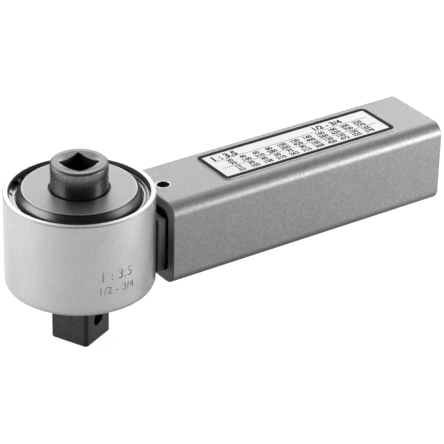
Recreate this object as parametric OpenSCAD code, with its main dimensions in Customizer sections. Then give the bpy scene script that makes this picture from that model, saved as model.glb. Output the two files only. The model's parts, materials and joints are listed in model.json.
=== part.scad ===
// Hand torque multiplier with a reaction arm, in millimetres.
// The origin is the centre of the output square's end face.
// +Z runs up the drive axis and +X runs out along the arm.

/* [Output square] */
// Width across the flats of the output square, a 3/4 inch drive
out_af = 19.05; // [18.5:0.05:20]
// How far each corner of the output square is cut back along its sides
out_corner_cut = 1.15; // [0.5:0.05:2]
// Bevel round the end face of the output square
out_end_bevel = 0.7; // [0.2:0.05:1.5]
// Length of the output square below the housing
out_len = 27.5; // [22:0.1:34]
// Bore of the retaining pin hole across the output square
out_pin_d = 6.5; // [4:0.1:8]
// Height of the pin hole's middle above the end face
out_pin_up = 10.5; // [8:0.1:14]
// Turn of the output square from the arm, in degrees
out_turn = 24.8; // [0:0.1:90]

/* [Housing] */
// Outer diameter of the housing
house_d = 66.4; // [64:0.1:76]
// Height of the housing
house_h = 44.4; // [43.5:0.1:50]
// Wall of the housing at its rim
rim_wall = 2.3; // [2:0.05:3]
// Bevel round the outer edge of the rim
rim_bevel = 0.5; // [0.1:0.05:0.9]
// Bevel round the inner edge of the rim
mouth_bevel = 0.35; // [0.1:0.05:0.8]
// Radius round the foot of the housing
foot_round = 2.7; // [1:0.1:4]
// Thickness of the housing's floor
floor_t = 7; // [6.4:0.1:8]
// Width of the step that the ring gear stands on
ring_step_w = 4.3; // [3.8:0.1:5]
// Width of the lug's neck between the housing and the arm
lug_w = 26.2; // [20:0.1:30]
// Height of the lug's neck
lug_h = 30; // [24:0.1:30.5]
// Radius in the corners where the neck meets the housing
lug_fillet = 3; // [1:0.1:4]

/* [Reaction arm] */
// Width of the arm's tube across the drive axis
arm_w = 41; // [38:0.1:46]
// Height of the arm's tube
arm_h = 40; // [39.5:0.1:44]
// Wall of the arm's tube
arm_wall = 4; // [3:0.1:4.5]
// Outer radius along the tube's edges
arm_edge_r = 6; // [5:0.1:8]
// Length of the arm's tube
arm_len = 150; // [120:1:400]
// Gap between the housing and the near end of the arm
arm_gap = 2.4; // [1:0.1:6]
// How far the arm reaches below the housing
arm_drop = 5; // [4.4:0.1:6]
// Length of the lug's tongue inside the arm
tongue_len = 42; // [25:1:60]
// Distance from the arm's near end to the tongue's shoulder
tongue_in = 2.9; // [1:0.1:4]
// Diameter of the spring pin that holds the arm
arm_pin_d = 6; // [4:0.1:7]
// Distance from the arm's near end to the pin's axis
arm_pin_in = 7.7; // [7:0.1:20]
// How far the pin's ends lie below the arm's surface
arm_pin_sink = 2.2; // [0.5:0.1:3]
// Bore of the hollow spring pin
arm_pin_bore = 3.2; // [1:0.1:3.8]
// Width of the spring pin's slot
arm_pin_slot = 0.8; // [0.4:0.1:1.2]

/* [Arm end plug] */
// Length of the plug in the arm's far end
plug_len = 12; // [8:0.5:20]
// Thickness of the plug's face
plug_face_t = 3; // [2:0.1:5]
// Thickness of the plug's walls and cross ribs
plug_rib_t = 2; // [1.5:0.1:3]
// How far the plug's face lies inside the arm's end
plug_recess = 0.8; // [0:0.1:2]

/* [Label plate] */
// Length of the label plate on top of the arm
label_l = 94.6; // [60:0.1:110]
// Width of the label plate
label_w = 24.6; // [15:0.1:26]
// Thickness of the label plate
label_t = 0.4; // [0.2:0.05:1]
// Radius of the label plate's corners
label_corner_r = 2.5; // [1:0.1:5]
// Distance from the arm's near end to the label plate
label_in = 34.7; // [20:0.1:50]
// How far the label plate lies off the arm's middle
label_side = 1; // [0:0.1:1.5]

/* [Cover] */
// How far the cover's top stands above the rim
cover_rise = 1.6; // [0.6:0.1:2.4]
// Width of the cover's ledge, from the housing's bore to the bevel's foot
cover_ledge_w = 3.3; // [3.2:0.05:4]
// Height of the upright wall between the ledge and the bevel
cover_step_h = 1.9; // [1.8:0.05:2.4]
// Height of the cover's bevel
cover_bevel_h = 3.4; // [2:0.1:4]
// Width of the cover's bevel, seen from above
cover_bevel_w = 2.5; // [1:0.1:4]
// Width of the gap between the hub and the cover's top hole
cover_hole_gap = 0.9; // [0.5:0.05:1.2]
// Thickness of the lip above the input seal
cover_lip_t = 1; // [0.6:0.05:1.4]
// Wall of the cover's skirt, which stands on the ring gear
cover_skirt_t = 2.55; // [2:0.05:2.8]

/* [Retaining ring] */
// Thickness of the retaining ring
clip_t = 1.5; // [1:0.05:1.7]
// Depth of the ring's groove in the housing wall
clip_groove = 1.1; // [0.5:0.05:1.3]
// Gap from the ring's inner edge to the cover's bevel
clip_inner_gap = 0.3; // [0.2:0.05:0.6]
// Opening between the ring's ends, in degrees
clip_open_angle = 20; // [10:1:40]
// Direction of the opening from the arm, in degrees
clip_open_at = 133; // [90:1:270]
// Diameter of the two plier holes
clip_eye_d = 1.6; // [1:0.1:2]
// Distance of each plier hole from the ring's end, in degrees
clip_eye_in = 6; // [4:0.5:10]

/* [Input drive] */
// Outer diameter of the hub
hub_d = 25.1; // [24:0.1:26]
// How far the hub stands above the cover
hub_rise = 12.8; // [8:0.1:20]
// Bevel round the hub's top edge
hub_bevel = 0.9; // [0.3:0.1:2]
// Width across the flats of the input socket, for a 1/2 inch drive
in_af = 12.8; // [12.7:0.05:13.2]
// Diameter of the lead-in cone at the hub's top
in_lead_d = 18.3; // [16:0.1:20]
// Depth of the lead-in cone
in_lead_h = 1.7; // [0.8:0.1:3]
// Depth of the input socket
in_depth = 17; // [14:0.1:20]
// Radius of the ball dimples in the socket's walls
in_dimple_r = 2.4; // [1.5:0.1:3]
// Depth of the ball dimples
in_dimple_depth = 0.7; // [0.3:0.05:1]
// Distance from the hub's top down to the ball dimples
in_dimple_down = 8.2; // [6:0.1:10]
// Turn of the input socket from the arm, in degrees
in_turn = 15.7; // [0:0.1:90]
// Width of the shaft's collar beyond the carrier plate's bore
collar_w = 3.2; // [2:0.1:3.4]
// Thickness of the shaft's collar
collar_t = 2.5; // [1.5:0.1:3.5]
// Diameter of the pilot at the shaft's lower end
pilot_d = 12; // [8:0.1:14]
// Length of the pilot below the planets
pilot_len = 6; // [3:0.1:6.2]

/* [Gear train] */
// Module of all gears
gear_module = 1.25; // [1.2:0.01:1.3]
// Play between meshing teeth, along the pitch circle
backlash = 0.16; // [0.12:0.01:0.25]
// Length of the planets' and the sun's teeth
gear_face = 14; // [12:0.1:15.5]
// Length of the ring gear's teeth beyond the planets
ring_extra = 1; // [0.6:0.1:1]
// Diameter of the dowels under the ring gear
dowel_d = 3; // [2:0.1:3.2]
// Length of the dowels
dowel_len = 14; // [8:0.1:16]
// Distance from the ring gear's outer face to the dowels' axes
dowel_in = 2.16; // [2.1:0.01:2.2]

/* [Planet carrier] */
// Diameter of the carrier's journal in the floor
journal_d = 34; // [30:0.1:36]
// How far the journal's end lies inside the housing's foot
journal_recess = 0.8; // [0.2:0.1:2]
// Gap between the carrier's flange and the housing
flange_gap = 0.8; // [0.5:0.1:1.5]
// Thickness of the carrier's flange
flange_t = 6; // [5:0.1:7]
// Thickness of the carrier plate
plate_t = 3.5; // [3:0.1:4.5]
// Gap between the carrier plate and the cover
plate_gap = 1; // [0.5:0.1:1.5]
// Gap between the sun's tips and the carrier plate's bore
plate_bore_gap = 1.1; // [0.5:0.1:1.5]
// Diameter of the columns between the flange and the plate
column_d = 6.4; // [6:0.1:6.8]
// Gap between the columns and the ring gear's teeth
column_gap = 1.4; // [1:0.1:1.6]
// Diameter of the planet pins
planet_pin_d = 7; // [6:0.1:7.2]
// How deep the planet pins sit in the flange
planet_pin_seat = 5; // [3:0.1:5]
// Diameter of the screws' shanks
screw_d = 4; // [3:0.1:4]
// Diameter of the screws' countersunk heads
screw_head_d = 7.6; // [6:0.1:8]
// Height of the screws' heads
screw_head_h = 2; // [1.5:0.1:2.3]
// Length of the screws
screw_len = 13; // [8:0.5:14]
// Width across the flats of the screws' hexagon sockets
screw_key_af = 2.5; // [2:0.1:3]
// Depth of the screws' hexagon sockets
screw_key_depth = 1.4; // [1:0.1:2]

/* [Bushes washers and seals] */
// Wall of the bush in the cover
input_bush_wall = 2.3; // [1.5:0.1:2.8]
// Height of the seal in the cover
input_seal_h = 2.1; // [1.5:0.1:2.6]
// Wall of the bush in the floor
output_bush_wall = 2.2; // [1.5:0.1:3]
// Height of the seal in the floor
output_seal_h = 2; // [1.5:0.1:2.5]
// Wall of the seal in the floor
output_seal_wall = 3; // [2.4:0.1:4]
// How far the floor's seal lies inside the foot
output_seal_in = 0.4; // [0.2:0.1:1]
// Wall of the bush round the shaft's pilot
pilot_bush_wall = 2; // [1:0.1:2.5]
// Wall of the bushes in the planets
planet_bush_wall = 1; // [0.8:0.05:1.2]
// Thickness of the washers at the planets
planet_washer_t = 0.8; // [0.5:0.05:1]
// Width of the washers at the planets
planet_washer_w = 2.5; // [1.5:0.1:2.6]
// Thickness of the washers at the shaft's collar
collar_washer_t = 0.8; // [0.5:0.05:1]
// Thickness of the washer under the carrier's flange
thrust_washer_t = 1; // [0.6:0.05:1.2]

/* [Clearances] */
// Radial clearance where one piece turns in another
run_clear = 0.08; // [0.06:0.01:0.1]
// Radial clearance where a piece is seated in another
seat_clear = 0.02; // [0.01:0.01:0.05]
// Clearance between end faces that turn past each other
end_clear = 0.1; // [0.05:0.01:0.15]
// Clearance of the lug's tongue in the arm
tongue_clear = 0.15; // [0.05:0.05:0.4]

/* [Hidden] */

// Counts, which the list of nodes and the gear ratio are made for
planets = 4;
sun_teeth = 16;
planet_teeth = 12;
ring_teeth = sun_teeth + 2 * planet_teeth;
dowels = 6;
// Tooth form: pressure angle in degrees, and tooth heights as shares of the module
pressure_angle = 20;
tip_share = 1;
sun_tip_share = 0.88;
ring_tip_share = 0.56;
root_share = 1.25;
flank_steps = 3;
// Sides of the circles
round_fn = 96;
small_fn = 48;
// Overrun of every cut
over = 1;

// Radii of the gears
sun_pitch_r = gear_module * sun_teeth / 2;
planet_pitch_r = gear_module * planet_teeth / 2;
ring_pitch_r = gear_module * ring_teeth / 2;
orbit_r = sun_pitch_r + planet_pitch_r;
sun_tip_r = sun_pitch_r + sun_tip_share * gear_module;
sun_root_r = sun_pitch_r - root_share * gear_module;
ring_tip_r = ring_pitch_r - ring_tip_share * gear_module;
ring_root_r = ring_pitch_r + root_share * gear_module;

// Radii of the housing and what stands in it
house_r = house_d / 2;
bore_r = house_r - rim_wall;
well_r = bore_r - ring_step_w;
ring_r = bore_r - seat_clear;
dowel_orbit_r = ring_r - dowel_in;
journal_r = journal_d / 2;
output_bush_r = journal_r + run_clear + output_bush_wall;
output_seal_r = journal_r + run_clear + output_seal_wall;
flange_r = well_r - flange_gap;
thrust_washer_r = flange_r;

// Radii of the cover and the hub
hub_r = hub_d / 2;
cover_foot_r = bore_r - cover_ledge_w;
cover_top_r = cover_foot_r - cover_bevel_w;
cover_hole_r = hub_r + cover_hole_gap;
cover_bore_r = hub_r + run_clear + input_bush_wall;
skirt_in_r = ring_r - cover_skirt_t;
plate_r = skirt_in_r - flange_gap - plate_gap;
plate_bore_r = sun_tip_r + plate_bore_gap;
collar_r = plate_bore_r + collar_w;
collar_pocket_r = collar_r + plate_gap;
clip_in_r = cover_foot_r + clip_inner_gap;
clip_eye_r = (clip_in_r + bore_r) / 2;
pilot_r = pilot_d / 2;
pilot_bush_r = pilot_r + run_clear + pilot_bush_wall;
planet_pin_r = planet_pin_d / 2;
planet_bush_r = planet_pin_r + run_clear + planet_bush_wall;
planet_washer_r = planet_pin_r + planet_washer_w;
column_r = column_d / 2;
column_orbit_r = ring_tip_r - column_gap - column_r;
screw_r = screw_d / 2;

// Heights, from the floor up
house_low = out_len;
house_top = house_low + house_h;
floor_top = house_low + floor_t;
seal_low = house_low + output_seal_in;
seal_high = seal_low + output_seal_h;
flange_low = floor_top + thrust_washer_t + end_clear;
flange_top = flange_low + flange_t;
planet_low = flange_top + planet_washer_t + end_clear;
planet_high = planet_low + gear_face;
ring_low = planet_low - ring_extra / 2;
ring_high = planet_high + ring_extra / 2;
plate_low = planet_high + end_clear + planet_washer_t;
plate_high = plate_low + plate_t;
lower_washer_high = plate_high + collar_washer_t;
collar_low = lower_washer_high + end_clear;
collar_high = collar_low + collar_t;
upper_washer_low = collar_high + end_clear;
upper_washer_high = upper_washer_low + collar_washer_t;
web_low = plate_high + plate_gap;
cover_top = house_top + cover_rise;
cover_foot = cover_top - cover_bevel_h;
ledge_top = cover_foot - cover_step_h;
clip_low = ledge_top + end_clear;
clip_high = clip_low + clip_t;
input_seal_high = cover_top - cover_lip_t;
input_seal_low = input_seal_high - input_seal_h;
hub_top = cover_top + hub_rise;
socket_floor = hub_top - in_depth;
pilot_low = planet_low - pilot_len;

// Places along the arm
arm_near = house_r + arm_gap;
arm_far = arm_near + arm_len;
arm_low = house_low - arm_drop;
arm_top = arm_low + arm_h;
arm_mid = arm_low + arm_h / 2;
arm_in_w = arm_w - 2 * arm_wall;
arm_in_h = arm_h - 2 * arm_wall;
arm_in_r = arm_edge_r - arm_wall;
tongue_near = arm_near + tongue_in;
arm_pin_x = arm_near + arm_pin_in;
plug_far = arm_far - plug_recess;

// Point at a radius and an angle
function polar(r, angle) = [r * cos(angle), r * sin(angle)];
// Turning angle of an involute at a flank angle, in degrees
function involute(angle) = tan(angle) * 180 / PI - angle;
// Angle from a tooth's middle to its flank at radius r
function flank_angle(r, pitch_r, teeth, set_back) =
    90 / teeth - set_back / pitch_r * 180 / PI + involute(pressure_angle)
    - involute(acos(min(1, pitch_r * cos(pressure_angle) / r)));
// Radii of the points along a flank
function flank_radii(low_r, tip_r) =
    [for (step = [0:flank_steps]) low_r + (tip_r - low_r) * step / flank_steps];
// One side of a tooth from root to tip, as pairs of radius and angle
function flank_pairs(pitch_r, teeth, root_r, tip_r, set_back) =
    let (low_r = max(root_r, pitch_r * cos(pressure_angle)))
    concat(
        root_r < low_r ? [[root_r, flank_angle(low_r, pitch_r, teeth, set_back)]] : [],
        [for (r = flank_radii(low_r, tip_r)) [r, flank_angle(r, pitch_r, teeth, set_back)]]
    );
// Outline of a toothed wheel whose first tooth points along turn
function toothed_wheel(pitch_r, teeth, root_r, tip_r, set_back, turn) =
    let (pairs = flank_pairs(pitch_r, teeth, root_r, tip_r, set_back), last = len(pairs) - 1)
    [for (tooth = [0:teeth - 1])
        let (middle = turn + 360 * tooth / teeth)
        each concat(
            [for (i = [0:last]) polar(pairs[i][0], middle - pairs[i][1])],
            [for (i = [last:-1:0]) polar(pairs[i][0], middle + pairs[i][1])]
        )
    ];

// Direction of planet number i, counted from 1
function planet_angle(i) = out_turn + 360 / planets * (i - 1);

// Upright ring between two heights
module ring(low, high, inner_r, outer_r) {
    translate([0, 0, low])
        rotate_extrude($fn = round_fn)
            translate([inner_r, 0])
                square([outer_r - inner_r, high - low]);
}

// Upright post between two heights
module post(low, high, r, sides = round_fn) {
    translate([0, 0, low])
        cylinder(h = high - low, r = r, $fn = sides);
}

// Rectangle with round corners about its middle
module rounded_rectangle(w, h, r) {
    square([w - 2 * r, h], center = true);
    square([w, h - 2 * r], center = true);
    for (side = [-1, 1], end = [-1, 1])
        translate([side * (w / 2 - r), end * (h / 2 - r)])
            circle(r = r, $fn = small_fn);
}

// Children copied to each planet's place
module at_planets() {
    for (i = [1:planets])
        rotate([0, 0, planet_angle(i)])
            translate([orbit_r, 0, 0])
                children();
}

// Children copied to each column's place, halfway between the planets
module at_columns() {
    for (i = [1:planets])
        rotate([0, 0, planet_angle(i) + 180 / planets])
            translate([column_orbit_r, 0, 0])
                children();
}

// Children copied to each dowel's place
module at_dowels() {
    for (i = [0:dowels - 1])
        rotate([0, 0, 360 * i / dowels])
            translate([dowel_orbit_r, 0, 0])
                children();
}

// Half section of the housing's outer form, with a round foot and a bevelled rim
module housing_section() {
    translate([0, house_low + foot_round])
        square([house_r, house_h - foot_round - rim_bevel]);
    translate([0, house_low])
        square([house_r - foot_round, foot_round + over]);
    translate([house_r - foot_round, house_low + foot_round])
        circle(r = foot_round, $fn = small_fn);
    polygon([
        [0, house_top - rim_bevel - over],
        [house_r, house_top - rim_bevel - over],
        [house_r, house_top - rim_bevel],
        [house_r - rim_bevel, house_top],
        [0, house_top]
    ]);
}

// Corner fillet between the neck's side and the housing, seen from above
module lug_corner() {
    centre_y = lug_w / 2 + lug_fillet;
    centre_x = sqrt((house_r + lug_fillet) ^ 2 - centre_y ^ 2);
    touch_x = centre_x * house_r / (house_r + lug_fillet);
    touch_y = centre_y * house_r / (house_r + lug_fillet);
    difference() {
        polygon([[touch_x, 0], [centre_x, 0], [centre_x, centre_y], [touch_x, touch_y]]);
        translate([centre_x, centre_y])
            circle(r = lug_fillet, $fn = small_fn);
    }
}

// Neck and tongue of the lug that carries the arm
module lug() {
    translate([0, 0, house_low])
        linear_extrude(height = lug_h) {
            translate([0, -lug_w / 2])
                square([tongue_near + over, lug_w]);
            lug_corner();
            mirror([0, 1])
                lug_corner();
        }
    translate([tongue_near, 0, arm_mid])
        rotate([90, 0, 90])
            linear_extrude(height = tongue_len)
                rounded_rectangle(
                    arm_in_w - 2 * tongue_clear, arm_in_h - 2 * tongue_clear, arm_in_r
                );
}

module gear_housing() {
    color([0.78, 0.78, 0.79])
        difference() {
            union() {
                rotate_extrude($fn = round_fn)
                    intersection() {
                        housing_section();
                        translate([0, house_low])
                            square([house_r, house_h]);
                    }
                lug();
            }
            post(ring_low, house_top + over, bore_r);
            post(floor_top, ring_low + over, well_r);
            post(house_low - over, floor_top + over, output_bush_r + seat_clear);
            post(house_low - over, seal_high + seat_clear, output_seal_r + seat_clear);
            ring(clip_low - end_clear / 2, clip_high + end_clear / 2, bore_r - over, bore_r + clip_groove);
            translate([0, 0, house_top - mouth_bevel])
                cylinder(h = mouth_bevel, r1 = bore_r, r2 = bore_r + mouth_bevel, $fn = round_fn);
            at_dowels()
                post(ring_low - dowel_len / 2, ring_low + over, dowel_d / 2 + seat_clear, small_fn);
            translate([arm_pin_x, 0, 0])
                post(arm_low, arm_top, arm_pin_d / 2 + seat_clear, small_fn);
        }
}

module ring_gear() {
    color([0.55, 0.56, 0.58])
        difference() {
            post(ring_low, ring_high, ring_r);
            translate([0, 0, ring_low - over])
                linear_extrude(height = ring_high - ring_low + 2 * over)
                    polygon(toothed_wheel(
                        ring_pitch_r, ring_teeth, ring_tip_r, ring_root_r, -backlash / 4,
                        out_turn + 180 / ring_teeth
                    ));
            at_dowels()
                post(ring_low - over, ring_low + dowel_len / 2, dowel_d / 2 + seat_clear, small_fn);
        }
}

module ring_gear_dowels() {
    color([0.6, 0.6, 0.62])
        at_dowels()
            post(ring_low - dowel_len / 2, ring_low + dowel_len / 2, dowel_d / 2, small_fn);
}

module cover_disc() {
    color([0.45, 0.45, 0.46])
        rotate_extrude($fn = round_fn)
            polygon([
                [skirt_in_r, ring_high],
                [ring_r, ring_high],
                [ring_r, ledge_top],
                [cover_foot_r, ledge_top],
                [cover_foot_r, cover_foot],
                [cover_top_r, cover_top],
                [cover_hole_r, cover_top],
                [cover_hole_r, input_seal_high],
                [cover_bore_r, input_seal_high],
                [cover_bore_r, upper_washer_high],
                [collar_pocket_r, upper_washer_high],
                [collar_pocket_r, web_low],
                [skirt_in_r, web_low]
            ]);
}

module retaining_ring() {
    open_from = clip_open_at - clip_open_angle / 2;
    color([0.7, 0.7, 0.72])
        difference() {
            translate([0, 0, clip_low])
                rotate([0, 0, open_from + clip_open_angle])
                    rotate_extrude(angle = 360 - clip_open_angle, $fn = round_fn)
                        translate([clip_in_r, 0])
                            square([bore_r + clip_groove - end_clear - clip_in_r, clip_t]);
            for (at = [open_from - clip_eye_in, open_from + clip_open_angle + clip_eye_in])
                rotate([0, 0, at])
                    translate([clip_eye_r, 0, 0])
                        post(clip_low - over, clip_high + over, clip_eye_d / 2, small_fn);
        }
}

module input_bush() {
    color([0.72, 0.55, 0.3])
        ring(upper_washer_high, input_seal_low, hub_r + run_clear, cover_bore_r - seat_clear);
}

module input_seal() {
    color([0.05, 0.05, 0.05])
        ring(input_seal_low, input_seal_high, hub_r + run_clear, cover_bore_r - seat_clear);
}

module collar_washer_upper() {
    color([0.72, 0.55, 0.3])
        ring(upper_washer_low, upper_washer_high, hub_r + run_clear, collar_r);
}

module output_bush() {
    color([0.72, 0.55, 0.3])
        ring(seal_high + seat_clear, floor_top, journal_r + run_clear, output_bush_r);
}

module output_seal() {
    color([0.05, 0.05, 0.05])
        ring(seal_low, seal_high, journal_r + run_clear, output_seal_r);
}

module output_thrust_washer() {
    color([0.72, 0.55, 0.3])
        ring(floor_top, floor_top + thrust_washer_t, journal_r + run_clear, thrust_washer_r);
}

module reaction_arm() {
    color([0.62, 0.63, 0.64])
        difference() {
            translate([arm_near, 0, arm_mid])
                rotate([90, 0, 90])
                    linear_extrude(height = arm_len)
                        difference() {
                            rounded_rectangle(arm_w, arm_h, arm_edge_r);
                            rounded_rectangle(arm_in_w, arm_in_h, arm_in_r);
                        }
            translate([arm_pin_x, 0, 0])
                post(arm_low - over, arm_top + over, arm_pin_d / 2 + seat_clear, small_fn);
        }
}

module arm_pin() {
    pin_low = arm_low + arm_pin_sink;
    pin_high = arm_top - arm_pin_sink;
    color([0.12, 0.12, 0.12])
        translate([arm_pin_x, 0, 0])
            difference() {
                post(pin_low, pin_high, arm_pin_d / 2, small_fn);
                post(pin_low - over, pin_high + over, arm_pin_bore / 2, small_fn);
                translate([0, -arm_pin_slot / 2, pin_low - over])
                    cube([arm_pin_d, arm_pin_slot, pin_high - pin_low + 2 * over]);
            }
}

module arm_end_plug() {
    plug_w = arm_in_w - 2 * seat_clear;
    plug_h = arm_in_h - 2 * seat_clear;
    pocket_w = (plug_w - 3 * plug_rib_t) / 2;
    pocket_h = (plug_h - 3 * plug_rib_t) / 2;
    color([0.06, 0.06, 0.06])
        translate([plug_far - plug_len, 0, arm_mid])
            rotate([90, 0, 90]) {
                linear_extrude(height = plug_len)
                    difference() {
                        rounded_rectangle(plug_w, plug_h, arm_in_r);
                        for (side = [-1, 1], end = [-1, 1])
                            translate([
                                side * (pocket_w + plug_rib_t) / 2,
                                end * (pocket_h + plug_rib_t) / 2
                            ])
                                square([pocket_w, pocket_h], center = true);
                    }
                translate([0, 0, plug_len - plug_face_t])
                    linear_extrude(height = plug_face_t)
                        rounded_rectangle(plug_w, plug_h, arm_in_r);
            }
}

module label_plate() {
    color([0.93, 0.93, 0.92])
        translate([arm_near + label_in + label_l / 2, label_side, arm_top])
            linear_extrude(height = label_t)
                rounded_rectangle(label_l, label_w, label_corner_r);
}

// Square socket with its lead-in cone and four ball dimples
module input_socket() {
    dimple_out = in_af / 2 + in_dimple_depth - in_dimple_r;
    rotate([0, 0, in_turn]) {
        translate([-in_af / 2, -in_af / 2, socket_floor])
            cube([in_af, in_af, in_depth + over]);
        for (quarter = [0:90:270])
            rotate([0, 0, quarter])
                translate([dimple_out, 0, hub_top - in_dimple_down])
                    sphere(r = in_dimple_r, $fn = small_fn);
    }
    translate([0, 0, hub_top - in_lead_h])
        cylinder(h = in_lead_h, r1 = in_af / 2, r2 = in_lead_d / 2, $fn = round_fn);
}

module input_shaft() {
    color([0.3, 0.3, 0.31])
        difference() {
            union() {
                rotate_extrude($fn = round_fn)
                    polygon([
                        [0, pilot_low],
                        [pilot_r, pilot_low],
                        [pilot_r, planet_low],
                        [sun_root_r, planet_low],
                        [sun_root_r, collar_low],
                        [collar_r - end_clear, collar_low],
                        [collar_r - end_clear, collar_high],
                        [hub_r, collar_high],
                        [hub_r, hub_top - hub_bevel],
                        [hub_r - hub_bevel, hub_top],
                        [0, hub_top]
                    ]);
                translate([0, 0, planet_low])
                    linear_extrude(height = gear_face)
                        polygon(toothed_wheel(
                            sun_pitch_r, sun_teeth, sun_root_r, sun_tip_r, backlash / 4, out_turn
                        ));
            }
            input_socket();
        }
}

// Upright slab across the square's whole width, with its two lower corners bevelled
module bevelled_slab(half, turn) {
    rotate([90, 0, turn])
        linear_extrude(height = 2 * out_af, center = true)
            polygon([
                [-half + out_end_bevel, 0], [half - out_end_bevel, 0], [half, out_end_bevel],
                [half, flange_low], [-half, flange_low], [-half, out_end_bevel]
            ]);
}

// Output square with cut corners and a bevelled end
module output_square() {
    half = out_af / 2;
    inner = half - out_corner_cut;
    rotate([0, 0, out_turn])
        intersection() {
            linear_extrude(height = flange_low)
                polygon([
                    [half, inner], [inner, half], [-inner, half], [-half, inner],
                    [-half, -inner], [-inner, -half], [inner, -half], [half, -inner]
                ]);
            bevelled_slab(half, 0);
            bevelled_slab(half, 90);
        }
}

module planet_carrier() {
    color([0.16, 0.16, 0.17])
        difference() {
            union() {
                output_square();
                post(house_low + journal_recess, flange_low + over, journal_r);
                post(flange_low, flange_top, flange_r);
                at_columns()
                    post(flange_top - over, plate_low, column_r, small_fn);
            }
            rotate([0, 0, out_turn])
                translate([0, out_af, out_pin_up])
                    rotate([90, 0, 0])
                        cylinder(h = 2 * out_af, r = out_pin_d / 2, $fn = small_fn);
            post(pilot_low - end_clear, flange_top + over, pilot_bush_r + seat_clear);
            at_planets()
                post(flange_top - planet_pin_seat, flange_top + over, planet_pin_r + seat_clear, small_fn);
            at_columns()
                post(plate_high - screw_len - over, plate_high, screw_r + seat_clear, small_fn);
        }
}

// Countersunk head that widens to the plate's top
module screw_head(extra) {
    translate([0, 0, plate_high - screw_head_h])
        cylinder(
            h = screw_head_h, r1 = screw_r + extra, r2 = screw_head_d / 2 + extra, $fn = small_fn
        );
}

module carrier_plate() {
    color([0.5, 0.5, 0.52])
        difference() {
            ring(plate_low, plate_high, plate_bore_r, plate_r);
            at_planets()
                post(plate_low - over, plate_high + over, planet_pin_r + seat_clear, small_fn);
            at_columns() {
                post(plate_low - over, plate_high + over, screw_r + seat_clear, small_fn);
                screw_head(seat_clear);
            }
        }
}

module carrier_screws() {
    key_r = screw_key_af / sqrt(3);
    color([0.2, 0.2, 0.2])
        at_columns()
            difference() {
                union() {
                    post(plate_high - screw_len, plate_high, screw_r, small_fn);
                    screw_head(0);
                }
                post(plate_high - screw_key_depth, plate_high + over, key_r, 6);
            }
}

module planet_washers() {
    color([0.72, 0.55, 0.3])
        at_planets() {
            ring(flange_top, flange_top + planet_washer_t, planet_pin_r + seat_clear, planet_washer_r);
            ring(plate_low - planet_washer_t, plate_low, planet_pin_r + seat_clear, planet_washer_r);
        }
}

module pilot_bush() {
    color([0.72, 0.55, 0.3])
        ring(pilot_low - end_clear, flange_top, pilot_r + run_clear, pilot_bush_r);
}

module collar_washer_lower() {
    color([0.72, 0.55, 0.3])
        ring(plate_high, lower_washer_high, plate_bore_r, collar_r);
}

module planet_pin(i) {
    color([0.65, 0.65, 0.67])
        rotate([0, 0, planet_angle(i)])
            translate([orbit_r, 0, 0])
                post(flange_top - planet_pin_seat, plate_high, planet_pin_r, small_fn);
}

module planet_gear(i) {
    color([0.5, 0.51, 0.53])
        rotate([0, 0, planet_angle(i)])
            translate([orbit_r, 0, 0])
                difference() {
                    translate([0, 0, planet_low])
                        linear_extrude(height = gear_face)
                            polygon(toothed_wheel(
                                planet_pitch_r, planet_teeth,
                                planet_pitch_r - root_share * gear_module,
                                planet_pitch_r + tip_share * gear_module,
                                backlash / 4, 180 / planet_teeth
                            ));
                    post(planet_low - over, planet_high + over, planet_bush_r + seat_clear, small_fn);
                }
}

module planet_bush(i) {
    color([0.72, 0.55, 0.3])
        rotate([0, 0, planet_angle(i)])
            translate([orbit_r, 0, 0])
                ring(planet_low, planet_high, planet_pin_r + run_clear, planet_bush_r);
}

gear_housing();
ring_gear();
ring_gear_dowels();
cover_disc();
retaining_ring();
input_bush();
input_seal();
collar_washer_upper();
output_bush();
output_seal();
output_thrust_washer();
reaction_arm();
arm_pin();
arm_end_plug();
label_plate();
input_shaft();
planet_carrier();
carrier_plate();
carrier_screws();
planet_washers();
pilot_bush();
collar_washer_lower();
for (i = [1:planets]) {
    planet_pin(i);
    planet_gear(i);
    planet_bush(i);
}
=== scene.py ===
"""Hand torque multiplier with a reaction arm: visible pieces, finishes, lights and camera.

All lengths are in metres. The drive axis is the Z axis and the arm points along +X.
"""
import json
import math

import bmesh
import bpy
import numpy as np
from mathutils import Matrix, Vector


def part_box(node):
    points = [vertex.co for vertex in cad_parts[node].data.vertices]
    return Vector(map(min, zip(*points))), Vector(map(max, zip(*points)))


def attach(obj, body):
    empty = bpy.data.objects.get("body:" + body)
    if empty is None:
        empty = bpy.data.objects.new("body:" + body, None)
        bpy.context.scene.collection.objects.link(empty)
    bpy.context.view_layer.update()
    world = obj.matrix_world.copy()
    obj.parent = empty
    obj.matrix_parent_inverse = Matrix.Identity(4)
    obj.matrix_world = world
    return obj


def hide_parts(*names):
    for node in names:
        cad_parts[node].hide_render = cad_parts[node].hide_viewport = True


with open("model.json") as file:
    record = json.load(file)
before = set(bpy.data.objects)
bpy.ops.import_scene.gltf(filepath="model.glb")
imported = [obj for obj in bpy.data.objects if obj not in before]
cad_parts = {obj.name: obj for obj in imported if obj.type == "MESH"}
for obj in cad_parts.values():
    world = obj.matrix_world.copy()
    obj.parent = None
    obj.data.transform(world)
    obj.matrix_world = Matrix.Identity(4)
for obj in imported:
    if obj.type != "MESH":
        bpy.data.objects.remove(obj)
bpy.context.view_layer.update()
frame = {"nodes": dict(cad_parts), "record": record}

MM = 0.001
MICRON = 1e-6

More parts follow.
